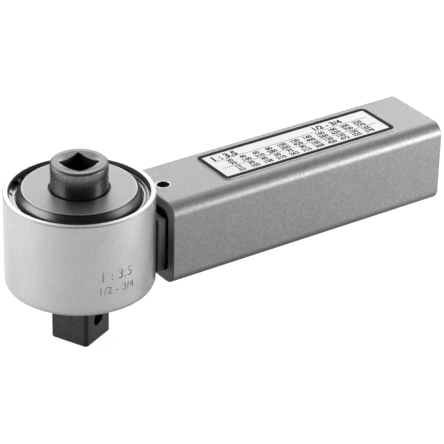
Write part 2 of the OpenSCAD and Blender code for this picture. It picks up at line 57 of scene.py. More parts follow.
# Heights and radii that the frame gives
HOUSE_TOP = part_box("gear_housing")[1].z
HOUSE_R = -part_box("gear_housing")[0].x
RING_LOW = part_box("ring_gear")[0].z
COVER_LOW, COVER_TOP = (c.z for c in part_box("cover_disc"))
COVER_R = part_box("cover_disc")[1].x
HUB_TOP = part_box("input_shaft")[1].z
CLIP_LOW, CLIP_HIGH = (c.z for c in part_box("retaining_ring"))
arm_low, arm_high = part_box("reaction_arm")
ARM_NEAR, ARM_FAR = arm_low.x, arm_high.x
ARM_LOW, ARM_TOP = arm_low.z, arm_high.z
ARM_W = 2 * arm_high.y
ARM_H = ARM_TOP - ARM_LOW
ARM_MID = (ARM_TOP + ARM_LOW) / 2
SEAL_LOW, SEAL_HIGH = (c.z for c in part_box("output_seal"))
SEAL_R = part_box("output_seal")[1].x

# Housing
HOUSE_LOW = 27.5 * MM
BORE_R = 30.9 * MM
GROOVE_R, GROOVE_CLEAR = 32 * MM, 0.05 * MM
WELL_R = 26.6 * MM
FLOOR_TOP = 34.5 * MM
BUSH_SEAT_R = 19.3 * MM
SEAL_SEAT_R = 20.1 * MM
SEAL_SEAT_TOP = 29.92 * MM
FOOT_ROUND = 2.7 * MM
RIM_BEVEL = 0.3 * MM
MOUTH_BEVEL = 0.2 * MM
FINE_EDGE = 0.08 * MM
LUG_HALF_W = 13.1 * MM
LUG_TOP = 53 * MM
LUG_FILLET = 3 * MM
LUG_ROOT_R = 32.2 * MM
LUG_EDGE = 0.5 * MM
TONGUE_NEAR, TONGUE_FAR = 38.5 * MM, 80.5 * MM
TONGUE_CLEAR = 0.15 * MM

# Where the nickel's painted light changes along X: a place and a width, or where a change starts
# and ends; the glint and flank give a painted highlight, the rest painted shade
LUG_GLINT_AT, LUG_GLINT_W = 33.3 * MM, 1.2 * MM
FLANK_FROM, FLANK_TO = (32.6 * MM, 33.6 * MM), (36.4 * MM, 35.6 * MM)
LUG_SIDE_SHADE = (20 * MM, 27 * MM)
IN_ARM_DARK = (35.8 * MM, 37 * MM)

# Arm, its pin hole and its plug
ARM_WALL = 4.8 * MM
HOLLOW_W, HOLLOW_H = ARM_W - 2 * ARM_WALL, ARM_H - 2 * ARM_WALL
ARM_EDGE_R, ARM_HOLLOW_R = 6 * MM, 4 * MM
ARM_END_EDGE, ARM_HOLLOW_EDGE = 0.6 * MM, 0.3 * MM
ARM_UNDER_SHADE = (ARM_LOW + 5.5 * MM, ARM_LOW + 2.5 * MM)
PIN_X = 43.3 * MM
PIN_HOLE_R = 3.02 * MM
PIN_HOLE_EDGE = 0.12 * MM
PLUG_EDGE = 0.8 * MM
PLUG_CLEAR = 0.03 * MM
PLUG_PANEL_IN = 4.5 * MM
PLUG_PANEL_DEEP = 0.7 * MM
PLUG_WALL = 2 * MM
PLUG_FACE_T = 3 * MM
PLUG_BACK_EDGE = 0.1 * MM
PLUG_LEAST_ROUND = 0.6 * MM

# Cover
SKIRT_IN_R = 28.33 * MM
LEDGE_TOP = 68.2 * MM
COVER_FOOT, COVER_FOOT_R = 70.1 * MM, 27.6 * MM
COVER_TOP_R = 25.1 * MM
COVER_HOLE_R = 13.45 * MM
COVER_BORE_R = 14.93 * MM
COVER_LIP_LOW = 72.5 * MM
WASHER_TOP = 65.2 * MM
POCKET_R = 16.4 * MM
WEB_LOW = 61.9 * MM
COVER_EDGE = 0.35 * MM
COVER_FOOT_ROUND = 3.5 * MM

# Retaining ring
CLIP_IN_R, CLIP_OUT_R = 27.9 * MM, 31.9 * MM
CLIP_EDGE = 0.25 * MM
CLIP_STEP_R, CLIP_STEP = 29.5 * MM, 0.7 * MM
CLIP_OPEN_AT, CLIP_OPEN_ANGLE = math.radians(131), math.radians(16)
CLIP_EYE_IN = math.radians(7)
CLIP_EYE_R, CLIP_EYE_FLARE = 0.8 * MM, 0.15 * MM
CLIP_STEPS = 340
# Where the ring's painted light lies: along X and in radius, each where it starts and ends
CLIP_LIT_X, CLIP_LIT_R = (-12 * MM, -24 * MM), (30.35 * MM, 30.05 * MM)

# Input drive
HUB_R = 12.68 * MM
HUB_FACE = HUB_TOP - 0.3 * MM
HUB_CUT = 68 * MM
HUB_BEVEL, HUB_DROP = 0.85 * MM, 0.75 * MM
HUB_EDGE = 0.3 * MM
SOCKET_HALF = 6.45 * MM
SOCKET_DEEP = 17 * MM
SOCKET_TURN = math.radians(15.7)
LEAD_R, LEAD_EDGE = 9.6 * MM, 0.1 * MM
LEAD_H = 0.9 * MM
LEAD_ROWS, SOCKET_ROWS = 8, 69
DIMPLE_R = 2.4 * MM
DIMPLE_OUT = 4.7 * MM
DIMPLE_DOWN = 8.2 * MM

# Output square
SQUARE_HALF = 9.525 * MM
SQUARE_CUT = 1.15 * MM
SQUARE_EDGE = 0.25 * MM
SQUARE_END = 0.35 * MM
SQUARE_TURN = math.radians(24.8)
CROSS_HOLE_R = 3.25 * MM
CROSS_HOLE_UP = 10.5 * MM
CROSS_HOLE_EDGE = 0.3 * MM
JOURNAL_R = 17 * MM
JOURNAL_LOW = 28.3 * MM
JOURNAL_CUT = 31 * MM
JOURNAL_EDGE = 0.5 * MM

# Label, whose near end and front side lie further out than the CAD plate's
LABEL_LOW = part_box("label_plate")[0] - Vector((1.5 * MM, 0.9 * MM, 0))
LABEL_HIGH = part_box("label_plate")[1]
LABEL_CORNER = 3 * MM
LABEL_EDGE = 0.1 * MM
FRAME_W = 2.3 * MM
PRINT_T = 0.02 * MM
PRINT_BOLD = 0.055
RULE_W, RULE_BAND, RULE_SHORT = 0.3 * MM, 0.1 * MM, 10 * MM
RULES_AT = (4.2 * MM, -3.1 * MM)

# Label's table, in millimetres from its middle: headings with height, x and y, and row
# pairs with the input values' step and y; the output values lie below them
RATIO = 3.5
HEADINGS = (("1 : 3.5", 4.0, -36, 6.6), ("1/2 - 3/4", 3.4, 22, 6.8))
ROW_PAIRS = ((20, 1.9), (15, -4.9))
ROW_STEP = 3.1
COLUMNS, FIRST_COLUMN, COLUMN_STEP = 11, -36, 7.2
FIGURE_TALL = 2.3

# Figures cut into the housing: text, height, and distance above the middle
MARK_ROWS = (("1 : 3.5", 4.6 * MM, 3.4 * MM), ("1/2 - 3/4", 3.6 * MM, -3.4 * MM))
MARK_AT = math.radians(-93)
MARK_MID, MARK_REACH = 43 * MM, 14 * MM
MARK_DEEP = 0.2 * MM
MARK_STRIPS = np.arange(-16, 16.1, 0.8) * MM

# Height of a capital, as a share of the font size
CAPITAL_SHARE = 0.7

# Camera, as fitted to the photograph's view
CAMERA_AT = (-478.124 * MM, -785.815 * MM, 563.252 * MM)
CAMERA_AZIMUTH, CAMERA_ELEVATION, CAMERA_ROLL = (
    math.radians(a) for a in (-35.171, 28.84, 1.315)
)
SENSOR_W = 36
LENS = 195.72
CAMERA_RANGE = 0.05, 20

# Floor, and how much of it and how bright a white the camera sees
FLOOR_HALF = 3
FLOOR_WHITE, FLOOR_GLOW = 0.92, 1.05

# Lights: name, azimuth and elevation in degrees, distance, width and height, power
LIGHTS_AIM = Vector((0.06, 0, 0.05))
SOFTBOXES = (
    ("top_light", 70, 75, 1.1, (1.0, 0.8), 5.55),
    ("back_light", 57, 27, 0.95, (1.2, 0.45), 8.2),
    ("back_left", 105, 28, 0.95, (0.7, 0.4), 1.15),
    ("left_low", 156, 5, 0.9, (0.8, 0.2), 6.2),
    ("left_high", 150, 28, 0.9, (0.9, 0.35), 3.5),
    ("right_front", -44, 5, 0.9, (0.42, 0.24), 9.9),
    ("right_high", -35, 28, 0.9, (0.6, 0.35), 1.15),
    ("far_right", 5, 12, 0.9, (0.6, 0.35), 0.37),
    ("back_right", 20, 28, 0.95, (0.5, 0.4), 0.9),
)
WORLD_LIGHT = 0.01

ROUND_STEPS = 256
POST_STEPS = 96
CORNER_STEPS = 6


def math_method(operation, swapped=False):
    """Method that adds a Math node on a socket and, where it takes one, another value."""
    def method(self, *others):
        values = (*others, self) if swapped else (self, *others)
        return self.finish.node(
            "ShaderNodeMath", {"operation": operation}, dict(enumerate(values))
        )
    return method


class Socket:
    """Output of a shader node; arithmetic on it adds Math nodes."""

    def __init__(self, finish, output):
        self.finish = finish
        self.output = output

    __add__ = __radd__ = math_method("ADD")
    __sub__ = math_method("SUBTRACT")
    __rsub__ = math_method("SUBTRACT", swapped=True)
    __mul__ = __rmul__ = math_method("MULTIPLY")
    __truediv__ = math_method("DIVIDE")
    __pow__ = math_method("POWER")
    smaller = math_method("MINIMUM")
    larger = math_method("MAXIMUM")
    size = math_method("ABSOLUTE")


class Finish:
    """Material with one Principled shader, whose patterns read Object coordinates."""

    def __init__(self, name, colour, roughness, metallic=0.0, **shader_values):
        self.material = bpy.data.materials.new(name)
        self.material.use_nodes = True
        self.tree = self.material.node_tree
        self.shader = self.tree.nodes["Principled BSDF"]
        self.shader.inputs["Base Color"].default_value = (*colour, 1)
        self.shader.inputs["Roughness"].default_value = roughness
        self.shader.inputs["Metallic"].default_value = metallic
        for key, value in shader_values.items():
            self.shader.inputs[key.replace("_", " ")].default_value = value
        self.place = self.node("ShaderNodeTexCoord", output="Object")
        self.x, self.y, self.z = (
            self.node("ShaderNodeSeparateXYZ", inputs={0: self.place}, output=axis)
            for axis in range(3)
        )

    def node(self, kind, settings=None, inputs=None, output=0):
        """New node with its settings and socket values; returns one of its outputs."""
        new = self.tree.nodes.new(kind)
        for key, value in (settings or {}).items():
            setattr(new, key, value)
        for key, value in (inputs or {}).items():
            self.feed(new.inputs[key], value)
        return Socket(self, new.outputs[output])

    def feed(self, socket, value):
        """Links a pattern to a socket, or sets the socket's value."""
        if isinstance(value, Socket):
            self.tree.links.new(value.output, socket)
        else:
            socket.default_value = value

    def set(self, **sockets):
        """Links patterns to the shader's sockets."""
        for key, value in sockets.items():
            self.feed(self.shader.inputs[key.replace("_", " ")], value)

    def radius(self):
        """Distance from the drive axis."""
        return (self.x * self.x + self.y * self.y) ** 0.5

    def noise(self, size, detail=2.0, stretch=(1, 1, 1), at=(0, 0, 0)):
        """Noise from 0 to 1 whose grains are about size wide, or longer by stretch."""
        mapped = self.node(
            "ShaderNodeMapping",
            inputs={"Vector": self.place, "Location": at,
                    "Scale": tuple(1 / (size * s) for s in stretch)},
        )
        return self.node(
            "ShaderNodeTexNoise",
            inputs={"Vector": mapped, "Scale": 1.0, "Detail": detail, "Roughness": 0.55},
        )

    def turned_noise(self, size, detail=2.0):
        """Noise on rings round the drive axis, as a lathe leaves it."""
        rings = self.node(
            "ShaderNodeCombineXYZ", inputs={0: self.radius() / size, 1: self.z / size}
        )
        return self.node(
            "ShaderNodeTexNoise",
            inputs={"Vector": rings, "Scale": 1.0, "Detail": detail, "Roughness": 0.6},
        )

    def ramp(self, value, low, high, first=0.0, last=1.0):
        """Smooth step from first at low to last at high."""
        return self.node(
            "ShaderNodeMapRange",
            {"interpolation_type": "SMOOTHSTEP"},
            {0: value, 1: low, 2: high, 3: first, 4: last},
        )

    def near(self, value, at, width):
        """1 where value is at, falling to 0 at width from it."""
        return self.ramp((value - at).size(), 0.0, width, 1.0, 0.0)

    def mix(self, factor, first, second):
        """Colour between two colours."""
        first, second = (
            c if isinstance(c, Socket) else (*c, 1) for c in (first, second)
        )
        return self.node(
            "ShaderNodeMix", {"data_type": "RGBA"}, {0: factor, 6: first, 7: second}, 2
        )

    def bump(self, height, deep, under=None):
        """Normal from a height between 0 and 1, as deep as given."""
        inputs = {"Height": height, "Distance": deep, "Strength": 1.0}
        if under is not None:
            inputs["Normal"] = under
        return self.node("ShaderNodeBump", inputs=inputs)


def mottle(*patterns):
    """Tone about 0.5: each pattern's distance from 0.5 times its weight, added up."""
    tone = 0.5
    for pattern, weight in patterns:
        tone = tone + weight * (pattern - 0.5)
    return tone


def satin_nickel():
    """Housing: blasted nickel, flat and bright at the rim, darker in the marks, with painted
    shade low on its outside wall, under the rim's bevel, on the bore, beside the lug and on it,
    the tongue inside the arm painted near black as shade, and a painted highlight on the lug's
    flank."""
    finish = Finish("satin_nickel", (0.75, 0.75, 0.755), 0.34, 1.0)
    grain = finish.noise(0.9 * MM, 4)
    fine = finish.noise(0.4 * MM, 2, at=(2, 5, 1))
    cloud = finish.noise(9 * MM, 3)
    scratch = finish.ramp(finish.noise(0.5 * MM, 2, (1, 1, 24)), 0.68, 0.8)
    radius = finish.radius()
    polished = finish.ramp(finish.z, HOUSE_TOP - RIM_BEVEL - 0.1 * MM, HOUSE_TOP - RIM_BEVEL)
    inside = finish.ramp(radius, HOUSE_R - 0.9 * MM, HOUSE_R - 1.2 * MM) * finish.ramp(
        finish.z, FLOOR_TOP, RING_LOW
    )
    # Painted shade: the bore's wall inside the housing is darker.
    bored = inside * finish.ramp(finish.z, HOUSE_TOP - 0.02 * MM, HOUSE_TOP - 0.1 * MM)
    sunk = finish.ramp(radius, HOUSE_R - 0.04 * MM, HOUSE_R - 0.12 * MM) * (1 - inside)
    sunk = sunk * finish.near(finish.z, MARK_MID, MARK_REACH)
    tone = mottle((grain, 0.8), (fine, 0.9), (cloud, 0.3))
    blasted = finish.mix(tone, (0.42, 0.42, 0.424), (0.65, 0.65, 0.654))
    rubbed = finish.mix(scratch * 0.3, blasted, (0.95, 0.95, 0.96))
    # Painted shade: the outside wall darkens towards its bottom, standing in for the floor's shadow
    # seen in it.
    foot_shade = finish.ramp(finish.z, HOUSE_LOW + 6 * MM, HOUSE_LOW) * (1 - inside)
    rubbed = finish.mix(foot_shade * 0.4, rubbed, (0.36, 0.36, 0.362))
    outer = finish.ramp(radius, HOUSE_R - 1.1 * MM, HOUSE_R - 0.8 * MM)
    flat = finish.mix(outer, (0.42, 0.42, 0.423), (0.41, 0.41, 0.412))
    # Painted shade: a thin dark band on the wall just under the rim's bevel.
    under_rim_shade = finish.near(finish.z, HOUSE_TOP - RIM_BEVEL - 0.25 * MM, 0.3 * MM) * (1 - inside)
    rim = finish.mix(under_rim_shade * 0.95, finish.mix(polished, rubbed, flat), (0.25, 0.25, 0.252))
    rim = finish.mix(bored, rim, (0.22, 0.22, 0.222))
    # Painted light on the lug: a painted highlight along its flank, with Metallic lowered there so
    # it takes more light; painted shade on the wall beside the lug and on the lug; the tongue
    # inside the arm painted near black as shade.
    flank = finish.ramp(finish.x, *FLANK_FROM) * finish.ramp(finish.x, *FLANK_TO)
    side_light = finish.near(finish.x, LUG_GLINT_AT, LUG_GLINT_W).larger(0.95 * flank)
    side_light = side_light * finish.ramp(finish.z, HOUSE_LOW, LUG_TOP, 0.25, 1.0)
    hollow = finish.ramp(finish.x, *IN_ARM_DARK) * (1 - inside)
    lug_shade = finish.ramp(finish.x, *LUG_SIDE_SHADE) * (1 - inside) * (1 - polished)
    rim = finish.mix(lug_shade * (0.85 - 0.85 * side_light), rim, (0.12,) * 3)
    rim = finish.mix(hollow, rim, (0.015,) * 3)
    smooth_part = polished.larger(bored)
    finish.set(
        Metallic=1 - 0.8 * side_light * (1 - hollow) * (1 - inside),
        Base_Color=finish.mix(sunk * 0.8, rim, (0.16, 0.16, 0.165)),
        Roughness=(0.33 + 0.08 * (cloud - 0.5) - 0.05 * scratch) * (1 - smooth_part)
        + smooth_part * (0.5 + 0.1 * (cloud - 0.5)),
        Normal=finish.bump(
            (0.6 * (grain - 0.5) + 0.4 * (fine - 0.5)) * (1 - smooth_part), 0.035 * MM
        ),
    )
    return finish.material


def grey_steel():
    """Cover: fine turned rings under a blasted grey, with a painted highlight ring just inside its
    top edge and a painted dark line of shade just outside it.
    """
    finish = Finish("grey_steel", (0.36, 0.36, 0.37), 0.32, 1.0)
    grain = finish.noise(0.9 * MM, 4)
    fine = finish.noise(0.4 * MM, 2, at=(1, 4, 2))
    rings = finish.turned_noise(0.3 * MM)
    cloud = finish.noise(7 * MM, 3)
    radius = finish.radius()
    # Painted highlight: a light ring just inside the top edge; painted shade: a dark line just
    # outside it, on the bevel.
    edge = finish.near(radius, COVER_TOP_R - 0.3 * MM, 0.4 * MM)
    line = finish.near(radius, COVER_TOP_R + 0.35 * MM, 0.3 * MM)
    bevel = finish.ramp(radius, COVER_TOP_R, COVER_TOP_R + 0.2 * MM)
    tone = mottle((grain, 0.8), (fine, 0.7), (rings, 0.3))
    top = finish.mix(tone, (0.115, 0.115, 0.117), (0.215, 0.215, 0.218))
    ground = finish.mix(bevel, top, finish.mix(tone, (0.108, 0.108, 0.11), (0.21, 0.21, 0.213)))
    finish.set(
        Base_Color=finish.mix(line * 0.7, finish.mix(edge * 0.6, ground, (0.34,) * 3), (0.04,) * 3),
        Roughness=0.43 + 0.08 * (grain - 0.5) + 0.06 * (cloud - 0.5) - 0.12 * bevel,
        Normal=finish.bump(
            (0.5 * (grain - 0.5) + 0.3 * (fine - 0.5) + 0.2 * rings) * (1 - 0.8 * bevel), 0.025 * MM
        ),
    )
    return finish.material


def hub_steel():
    """Hub: dark burnished steel with turned rings and a lighter, rubbed top."""
    finish = Finish(
        "hub_steel", (0.18, 0.18, 0.19), 0.26, 1.0, Specular_Tint=(0.65, 0.65, 0.65, 1)
    )
    grain = finish.noise(0.8 * MM, 4)
    rings = finish.turned_noise(0.3 * MM)
    cloud = finish.noise(5 * MM, 3)
    top = finish.ramp(finish.z, HUB_FACE - HUB_DROP - 0.4 * MM, HUB_FACE - HUB_DROP)
    cone = finish.ramp(finish.z, HUB_FACE - 0.03 * MM, HUB_FACE - 0.12 * MM) * finish.ramp(
        finish.radius(), LEAD_R, LEAD_R - LEAD_EDGE
    )
    fine = finish.noise(0.4 * MM, 2, at=(3, 2, 6))
    tone = mottle((grain, 1.1), (fine, 0.9), (rings, 0.4), (cloud, 0.3))
    dark = finish.mix(tone, (0.09, 0.09, 0.092), (0.36, 0.36, 0.363))
    light = finish.mix(tone, (0.092, 0.092, 0.093), (0.17, 0.17, 0.172))
    sunk = finish.mix(tone, (0.12, 0.12, 0.121), (0.215, 0.215, 0.217))
    finish.set(
        Base_Color=finish.mix(cone, finish.mix(top, dark, light), sunk),
        Roughness=0.19 + 0.06 * (grain - 0.5) + 0.04 * (cloud - 0.5) + 0.17 * top.larger(cone),
        Normal=finish.bump(0.6 * grain + 0.4 * rings, 0.02 * MM),
    )
    return finish.material


def black_steel():
    """Output square, screws and pin: grained black oxide, with painted shade on the square's facets
    and in its cross hole.
    """
    finish = Finish(
        "black_steel", (0.06, 0.06, 0.062), 0.46, 0.5, Specular_Tint=(0.5, 0.5, 0.5, 1)
    )
    grain = finish.noise(0.9 * MM, 4)
    fine = finish.noise(0.4 * MM, 2, at=(4, 1, 3))
    cloud = finish.noise(4 * MM, 3)
    across = finish.x * math.cos(SQUARE_TURN) + finish.y * math.sin(SQUARE_TURN)
    along = finish.y * math.cos(SQUARE_TURN) - finish.x * math.sin(SQUARE_TURN)
    corner = across.size() + along.size()
    # Painted shade: the square's cut corner facets are darker.
    facet_shade = finish.ramp(
        corner, 2 * SQUARE_HALF - SQUARE_CUT - 0.5 * MM, 2 * SQUARE_HALF - SQUARE_CUT - 0.2 * MM
    ) * finish.ramp(finish.z, JOURNAL_LOW, JOURNAL_LOW - 0.3 * MM)
    tone = mottle((grain, 1.2), (fine, 1.3), (cloud, 0.3))
    oxide = finish.mix(tone, (0.008, 0.008, 0.009), (0.08, 0.08, 0.082))
    # Painted shade: the cross hole's wall is near black.
    from_hole = (across * across + (finish.z - CROSS_HOLE_UP) ** 2) ** 0.5
    hole_shade = finish.ramp(from_hole, CROSS_HOLE_R + 0.2 * MM, CROSS_HOLE_R + 0.05 * MM)
    hole_shade = hole_shade * 0.95 * finish.ramp(finish.z, JOURNAL_LOW, 0.9 * JOURNAL_LOW)
    dark = (facet_shade * 0.75).larger(hole_shade)
    finish.set(
        Base_Color=finish.mix(dark, oxide, (0.012, 0.012, 0.013)),
        Roughness=0.42 + 0.14 * (grain - 0.5) + 0.08 * (cloud - 0.5),
        Normal=finish.bump(0.6 * grain + 0.4 * fine, 0.03 * MM),
    )
    return finish.material


def gear_steel():
    """Gears, pins and plate: machined steel with a film of oil."""
    finish = Finish("gear_steel", (0.5, 0.5, 0.52), 0.28, 1.0)
    cut = finish.noise(0.18 * MM, 2, (1, 1, 10))
    cloud = finish.noise(3 * MM, 3)
    finish.set(
        Base_Color=finish.mix(cut * 0.5 + cloud * 0.5, (0.36, 0.36, 0.37), (0.62, 0.62, 0.64)),
        Roughness=0.2 + 0.12 * cut + 0.08 * cloud,
        Normal=finish.bump(cut, 0.008 * MM),
    )
    return finish.material


def spring_steel():
    """Retaining ring: dark stamped steel, lighter along its edges by wear and a painted highlight,
    and with painted light on its side towards -X, by its ears.
    """
    finish = Finish("spring_steel", (0.4, 0.4, 0.41), 0.26, 1.0)
    rings = finish.turned_noise(0.12 * MM)
    grain = finish.noise(0.25 * MM, 3)
    radius = finish.radius()
    tone = 0.5 * rings + 0.5 * grain
    # Lighter along the step and the inner edge: partly edge wear, partly a painted highlight where
    # the rounded edges catch light.
    rubbed = finish.near(radius, CLIP_STEP_R + 0.15 * MM, 0.35 * MM).larger(
        finish.near(radius, CLIP_IN_R + 0.35 * MM, 0.4 * MM)
    )
    # Painted light: the ring is lighter on its side towards -X, inside its outer rim.
    clip_lit_side = finish.ramp(finish.x, *CLIP_LIT_X) * finish.ramp(radius, *CLIP_LIT_R)
    rubbed = rubbed.larger(0.55 * clip_lit_side)
    dark = finish.mix(tone, (0.015,) * 3, (0.04, 0.04, 0.041))
    finish.set(
        Base_Color=finish.mix(rubbed, dark, finish.mix(tone, (0.16,) * 3, (0.28,) * 3)),
        Roughness=0.2 + 0.14 * grain,
        Normal=finish.bump(0.5 * rings + 0.5 * grain, 0.008 * MM),
    )
    return finish.material


def arm_paint():
    """Arm: silver-grey powder coat, finely mottled, with painted shade underneath, a light ring
    round the pin hole that is partly unpainted steel and partly painted highlight, hole and inner
    walls painted near black as shade, and a cut end of dark steel with painted shade from near its
    top down to its middle."""
    finish = Finish("arm_paint", (0.31, 0.31, 0.314), 0.4, 0.5)
    speck = finish.noise(1.1 * MM, 4)
    fine = finish.noise(0.5 * MM, 3, at=(3, 1, 2))
    cloud = finish.noise(14 * MM, 3)
    from_hole = ((finish.x - PIN_X) ** 2 + finish.y ** 2) ** 0.5
    # A light ring round the pin hole: partly unpainted steel at the chamfer, partly painted
    # highlight.
    bare_ring_highlight = finish.near(from_hole, PIN_HOLE_R + 0.1 * MM, 0.4 * MM)
    # Painted shade: the pin hole's wall is near black.
    hole_shade = finish.ramp(from_hole, PIN_HOLE_R + 0.1 * MM, PIN_HOLE_R + 0.03 * MM) * finish.ramp(
        (finish.z - ARM_MID).size(), ARM_H / 2 - 0.2 * MM, ARM_H / 2 - 0.4 * MM
    )
    cut_face = finish.ramp(finish.x, ARM_NEAR + 0.5 * MM, ARM_NEAR + 0.2 * MM)
    to_side = ARM_W / 2 - finish.y.size()
    to_top = ARM_H / 2 - (finish.z - ARM_MID).size()
    # Painted shade: the tube's inner walls are near black, the cut ends kept out.
    inside = finish.ramp(to_side.smaller(to_top), ARM_WALL - 0.8 * MM, ARM_WALL - 0.3 * MM)
    far_face = finish.ramp(finish.x, ARM_FAR - 0.5 * MM, ARM_FAR - 0.2 * MM)
    inside = (inside * (1 - cut_face) * (1 - far_face)).larger(hole_shade)
    # Painted shade on the near cut end, which is dark steel: darker from near its top down to its
    # middle.
    cut_end_shade = finish.ramp(finish.z, ARM_MID, ARM_TOP - 2 * MM)
    wall = cut_face.larger(inside) * 0.95
    tone = mottle((speck, 1.1), (fine, 1.1), (cloud, 0.2))
    coat = finish.mix(tone, (0.119, 0.119, 0.121), (0.258, 0.258, 0.261))
    # Painted shade: darker on the arm's underside.
    under = finish.ramp(finish.z, *ARM_UNDER_SHADE)
    coat = finish.mix(under * 0.85, coat, (0.05, 0.05, 0.051))
    shaded_wall_colour = finish.mix(
        inside, finish.mix(cut_end_shade, (0.06,) * 3, (0.3, 0.3, 0.302)), (0.015,) * 3
    )
    finish.set(
        Base_Color=finish.mix(wall, finish.mix(bare_ring_highlight * 0.9, coat, (0.9,) * 3), shaded_wall_colour),
        Roughness=0.46 + 0.14 * (fine - 0.5) + 0.1 * (cloud - 0.5),
        Metallic=0.5 * (1 - wall),
        Normal=finish.bump(0.6 * speck + 0.4 * fine, 0.06 * MM),
    )
    return finish.material


def bronze():
    """Bushes and washers: turned bronze, a little dull."""
    finish = Finish("bronze", (0.66, 0.46, 0.22), 0.34, 1.0)
    rings = finish.turned_noise(0.15 * MM)
    cloud = finish.noise(3 * MM, 3)
    finish.set(
        Base_Color=finish.mix(0.4 * rings + 0.6 * cloud, (0.46, 0.3, 0.13), (0.76, 0.55, 0.29)),
        Roughness=0.26 + 0.2 * cloud,
        Normal=finish.bump(rings, 0.008 * MM),
    )
    return finish.material


def seal_rubber():
    """Seals: black moulded rubber with a little dust."""
    finish = Finish("seal_rubber", (0.02,) * 3, 0.6, 0.0)
    grain = finish.noise(0.4 * MM, 3)
    finish.set(
        Base_Color=finish.mix(grain, (0.012,) * 3, (0.035, 0.034, 0.033)),
        Roughness=0.5 + 0.2 * grain,
        Normal=finish.bump(grain, 0.01 * MM),
    )
    return finish.material


def plug_plastic():
    """Plug: black moulded plastic with a fine spark-eroded grain."""
    finish = Finish("plug_plastic", (0.025, 0.025, 0.027), 0.5, 0.0)
    grain = finish.noise(0.45 * MM, 4)
    cloud = finish.noise(8 * MM, 2)
    finish.set(
        Base_Color=finish.mix(cloud, (0.018, 0.018, 0.019), (0.034, 0.034, 0.036)),
        Roughness=0.44 + 0.14 * grain,
        Normal=finish.bump(grain, 0.03 * MM),
    )
    return finish.material


def label_white():
    """Label plate: white enamel on thin metal, faintly rubbed."""
    finish = Finish("label_white", (0.7,) * 3, 0.5, 0.0, Specular_IOR_Level=0.2)
    cloud = finish.noise(5 * MM, 3)
    rub = finish.ramp(finish.noise(0.6 * MM, 2, (12, 1, 1)), 0.62, 0.75)
    finish.set(
        Base_Color=finish.mix(0.6 * cloud + 0.4 * rub, (0.68,) * 3, (0.6,) * 3),
        Roughness=0.45 + 0.1 * cloud + 0.1 * rub,
        Normal=finish.bump(cloud, 0.01 * MM),
    )
    return finish.material


def label_ink():
    """Printing on the label: black ink, a little uneven."""
    finish = Finish("label_ink", (0.01, 0.01, 0.011), 0.5, 0.0, Specular_IOR_Level=0.05)
    patch = finish.noise(0.5 * MM, 3)
    finish.set(
        Base_Color=finish.mix(patch, (0.002, 0.002, 0.003), (0.009, 0.009, 0.01)),
        Roughness=0.5 + 0.14 * patch,
    )
    return finish.material


def rounded_outline(corners, steps=CORNER_STEPS):
    """Closed outline through corners (x, y, radius): each corner is an arc that touches both
    its sides, its points sums of the two touching radii weighted by sines."""
    corners = np.asarray(corners, float)
    at, radius = corners[:, :2], corners[:, 2:]
    before = np.roll(at, 1, axis=0) - at
    after = np.roll(at, -1, axis=0) - at
    before /= np.linalg.norm(before, axis=1, keepdims=True)
    after /= np.linalg.norm(after, axis=1, keepdims=True)
    half = np.arccos(np.clip((before * after).sum(axis=1), -1, 1))[:, None] / 2
    middle = (before + after) / np.linalg.norm(before + after, axis=1, keepdims=True)
    centre = at + middle * radius / np.sin(half)
    start = at + before * radius / np.tan(half) - centre
    end = at + after * radius / np.tan(half) - centre
    sweep = (np.pi - 2 * half)[:, None]
    share = np.linspace(0, 1, steps + 1)[None, :, None]
    arc = np.sin((1 - share) * sweep) * start[:, None] + np.sin(share * sweep) * end[:, None]
    return (centre[:, None] + arc / np.sin(sweep)).reshape(-1, 2)


def grid(*coordinates):
    """Points from their coordinates, each spread to the shape that they share."""
    return np.stack(np.broadcast_arrays(*coordinates), axis=-1)


def rounded_rows(width, height, radius, inset, least=0, steps=12):
    """Rounded rectangles, each narrower all round by its inset: at angle a the corner's
    centre plus its radius, which shrinks down to least, times (cos a, sin a)."""
    width, height = width - 2 * inset[:, None], height - 2 * inset[:, None]
    radius = np.maximum(radius - inset[:, None], least)
    angle = np.linspace(0, np.pi / 2, steps + 1)
    angle = (angle[None, :] + np.pi / 2 * np.arange(4)[:, None]).reshape(-1)
    corner = np.repeat(np.arange(4), steps + 1) * np.pi / 2 + np.pi / 4
    side, end = np.sign(np.cos(corner)), np.sign(np.sin(corner))
    return grid(
        side * (width / 2 - radius) + radius * np.cos(angle),
        end * (height / 2 - radius) + radius * np.sin(angle),
    )


def edge_break(size, steps=5):
    """Quarter round of an end edge, as rows of (distance from the end, inset): size times
    (1 - sin a, 1 - cos a) for a from 0 to a right angle, from the side to the end face."""
    angle = np.linspace(0, np.pi / 2, steps + 1)
    return size * grid(1 - np.sin(angle), 1 - np.cos(angle))


def along_arm(along, rows):
    """Points of outlines (y, z from the arm's middle), each row at its place along X."""
    return grid(along[:, None], rows[..., 0], ARM_MID + rows[..., 1])


def at_heights(rows, heights):
    """Points of outlines (x, y), each row at its height."""
    return grid(rows[..., 0], rows[..., 1], heights[:, None])


def round_axis(outline, angle):
    """Points (r cos a, r sin a, z) for each outline point (r, z) and each angle a."""
    radius, height = outline[:, :1], outline[:, 1:]
    return grid(radius * np.cos(angle), radius * np.sin(angle), height)


def new_object(name, data):
    """Object with the given data, linked to the scene."""
    made = bpy.data.objects.new(name, data)
    bpy.context.scene.collection.objects.link(made)
    return made


def evaluated_mesh(source):
    """Mesh of an object as its modifiers or its font make it."""
    bpy.context.view_layer.update()
    graph = bpy.context.evaluated_depsgraph_get()
    return bpy.data.meshes.new_from_object(source.evaluated_get(graph))


